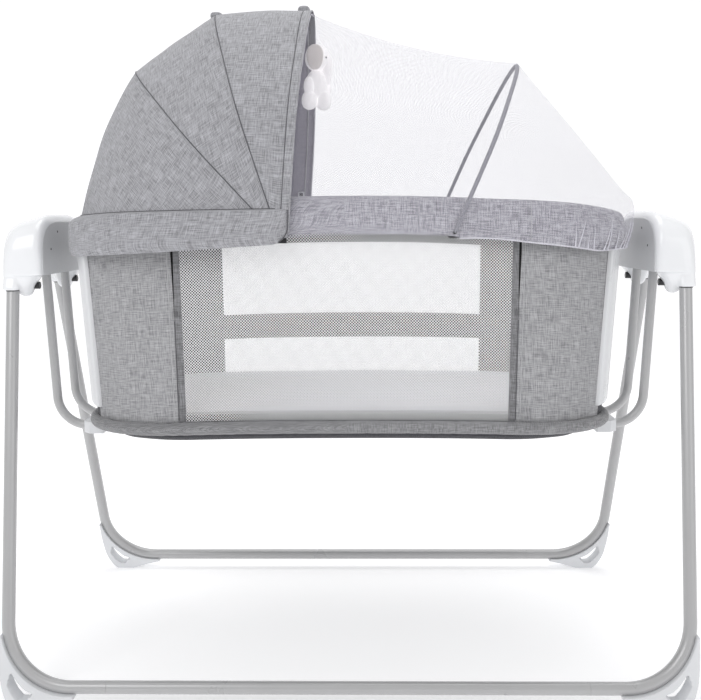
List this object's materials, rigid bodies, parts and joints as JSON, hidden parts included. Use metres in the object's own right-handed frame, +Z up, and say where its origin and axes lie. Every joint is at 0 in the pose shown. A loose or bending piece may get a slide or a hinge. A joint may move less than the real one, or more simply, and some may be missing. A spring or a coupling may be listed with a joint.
{
  "type": "bassinet",
  "caption": "Swinging bassinet: fabric basket hung between two housings on a tube stand, with a folding hood, a hooped net and a small hanging toy.",
  "frame": {"origin": "on the floor, under the middle of the stand", "axes": "+Z up, +X along the basket towards the foot end under the net, -Y towards the side with the large netting window"},
  "size_m": [1.212, 0.707, 1.1538],
  "materials": {
    "painted_tube": "semi-gloss light grey",
    "gloss_shell": "glossy white",
    "white_plastic": "satin grey-white",
    "black_plastic": "satin black",
    "dark_panel": "glossy dark",
    "zinc_steel": "zinc-plated",
    "grey_fabric": "heather grey linen weave",
    "charcoal_fabric": "dark woven cover",
    "grey_netting": "open warp-knit netting",
    "white_netting": "fine sheer net",
    "white_cotton": "soft white cotton",
    "plush": "short white pile",
    "hoop_sleeve": "grey sleeve",
    "dark_strap": "woven tape"
  },
  "bodies": {
    "stand": {"rail_front": "painted_tube", "rail_rear": "painted_tube", "leg_front_left": "painted_tube", "leg_front_right": "painted_tube", "leg_rear_left": "painted_tube", "leg_rear_right": "painted_tube", "foot_front_left": "white_plastic", "foot_front_right": "white_plastic", "foot_rear_left": "white_plastic", "foot_rear_right": "white_plastic", "housing_shell_left": "gloss_shell", "housing_shell_right": "gloss_shell", "housing_cover_left": "gloss_shell", "housing_cover_right": "gloss_shell", "control_panel": "dark_panel", "drive_motor": "zinc_steel", "power_inlet": "black_plastic"},
    "cradle": {"hanger_left": "white_plastic", "hanger_right": "white_plastic", "arm_front_left": "painted_tube", "arm_front_right": "painted_tube", "arm_rear_left": "painted_tube", "arm_rear_right": "painted_tube", "clip_left": "white_plastic", "clip_right": "white_plastic", "bottom_frame": "painted_tube", "bottom_sleeve": "grey_fabric", "basket_floor": "charcoal_fabric", "mattress": "white_cotton", "side_front": "grey_fabric", "side_rear": "grey_fabric", "window_front": "grey_netting", "window_rear": "grey_netting", "end_shell_left": "gloss_shell", "end_shell_right": "gloss_shell", "rim_tube": "painted_tube", "rim_skirt": "grey_fabric", "canopy_valance": "grey_fabric", "net": "white_netting"},
    "canopy_rear": {"canopy_bow_rear": "zinc_steel"},
    "canopy_middle": {"canopy_bow_middle": "zinc_steel", "canopy_fabric": "grey_fabric"},
    "canopy_front": {"canopy_bow_front": "zinc_steel"},
    "net_front_edge": {"net_edge": "white_netting"},
    "net_hoop": {"net_hoop": "hoop_sleeve"},
    "toy": {"toy_strap": "dark_strap", "toy_head": "plush", "toy_body": "plush", "toy_arm_front": "plush", "toy_arm_rear": "plush", "toy_leg_front": "plush", "toy_leg_rear": "plush"},
    "slider_left": {"zip_slider_left": "zinc_steel"},
    "slider_right": {"zip_slider_right": "zinc_steel"},
    "power_button": {"button_power": "gloss_shell"},
    "speed_button": {"button_speed": "gloss_shell"},
    "release_front_left": {"leg_release_front_left": "black_plastic"},
    "release_front_right": {"leg_release_front_right": "black_plastic"},
    "release_rear_left": {"leg_release_rear_left": "black_plastic"},
    "release_rear_right": {"leg_release_rear_right": "black_plastic"}
  },
  "joints": [
    {"name": "swing", "type": "hinge", "parent": "stand", "child": "cradle", "pos_m": [0, 0, 0.752], "axis": [1, 0, 0], "range_deg": [-12, 12]},
    {"name": "canopy_fold", "type": "hinge", "parent": "cradle", "child": "canopy_rear", "pos_m": [-0.105, 0, 0.765], "axis": [0, -1, 0], "range_deg": [0, 23], "deforming": ["canopy_fabric"]},
    {"name": "canopy_fold_middle", "type": "hinge", "parent": "canopy_rear", "child": "canopy_middle", "pos_m": [-0.105, 0, 0.765], "axis": [0, -1, 0], "range_deg": [0, 20], "deforming": ["canopy_fabric"]},
    {"name": "canopy_fold_front", "type": "hinge", "parent": "canopy_middle", "child": "canopy_front", "pos_m": [-0.105, 0, 0.765], "axis": [0, -1, 0], "range_deg": [0, 20], "deforming": ["canopy_fabric"]},
    {"name": "net_edge_fold", "type": "hinge", "parent": "cradle", "child": "net_front_edge", "pos_m": [-0.105, 0, 0.765], "axis": [0, -1, 0], "range_deg": [0, 63], "deforming": ["net"]},
    {"name": "net_hoop_tilt", "type": "hinge", "parent": "cradle", "child": "net_hoop", "pos_m": [0.177, 0, 0.772], "axis": [0, 1, 0], "range_deg": [-15, 35], "deforming": ["net"]},
    {"name": "toy_sway", "type": "hinge", "parent": "canopy_front", "child": "toy", "pos_m": [-0.056, 0, 1.1467], "axis": [0, 1, 0], "range_deg": [-20, 20]},
    {"name": "zip_slide_left", "type": "slide", "parent": "cradle", "child": "slider_left", "axis": [0, -0.0282, 0.9996], "range_m": [-0.12, 0.1]},
    {"name": "zip_slide_right", "type": "slide", "parent": "cradle", "child": "slider_right", "axis": [0, -0.0282, 0.9996], "range_m": [-0.12, 0.1]},
    {"name": "power_press", "type": "slide", "parent": "stand", "child": "power_button", "axis": [0, 0, -1], "range_m": [0, 0.0012], "stiffness_N_per_m": 400},
    {"name": "speed_press", "type": "slide", "parent": "stand", "child": "speed_button", "axis": [0, 0, -1], "range_m": [0, 0.0012], "stiffness_N_per_m": 400},
    {"name": "release_press_front_left", "type": "slide", "parent": "stand", "child": "release_front_left", "axis": [-1, 0, 0], "range_m": [0, 0.003], "stiffness_N_per_m": 600},
    {"name": "release_press_front_right", "type": "slide", "parent": "stand", "child": "release_front_right", "axis": [1, 0, 0], "range_m": [0, 0.003], "stiffness_N_per_m": 600},
    {"name": "release_press_rear_left", "type": "slide", "parent": "stand", "child": "release_rear_left", "axis": [-1, 0, 0], "range_m": [0, 0.003], "stiffness_N_per_m": 600},
    {"name": "release_press_rear_right", "type": "slide", "parent": "stand", "child": "release_rear_right", "axis": [1, 0, 0], "range_m": [0, 0.003], "stiffness_N_per_m": 600}
  ],
  "couplings": [
    {"joint": "canopy_fold_middle", "follows": "canopy_fold", "ratio": 0.8695},
    {"joint": "canopy_fold_front", "follows": "canopy_fold", "ratio": 0.8695},
    {"joint": "net_edge_fold", "follows": "canopy_fold", "ratio": 2.739}
  ]
}
